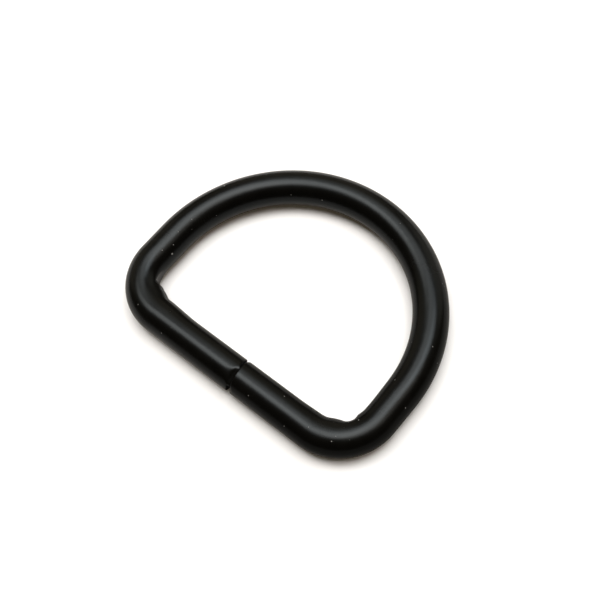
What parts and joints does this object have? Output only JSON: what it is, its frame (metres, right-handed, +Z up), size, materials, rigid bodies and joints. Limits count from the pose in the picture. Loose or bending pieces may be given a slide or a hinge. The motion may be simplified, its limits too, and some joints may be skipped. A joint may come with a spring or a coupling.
{
  "type": "d ring",
  "caption": "D-shaped ring bent from round steel wire with a satin black coating, its ends butted in the straight bar, for joining straps and hooks.",
  "frame": {"origin": "middle of the ring's outline, on the surface that the ring lies on", "axes": "+X along the straight bar, +Y from the bar to the crown, +Z up, square to the ring's plane"},
  "size_m": [0.032, 0.0254, 0.0035],
  "materials": {
    "black_coat": "satin"
  },
  "bodies": {
    "root": {"ring": "black_coat"}
  },
  "joints": []
}
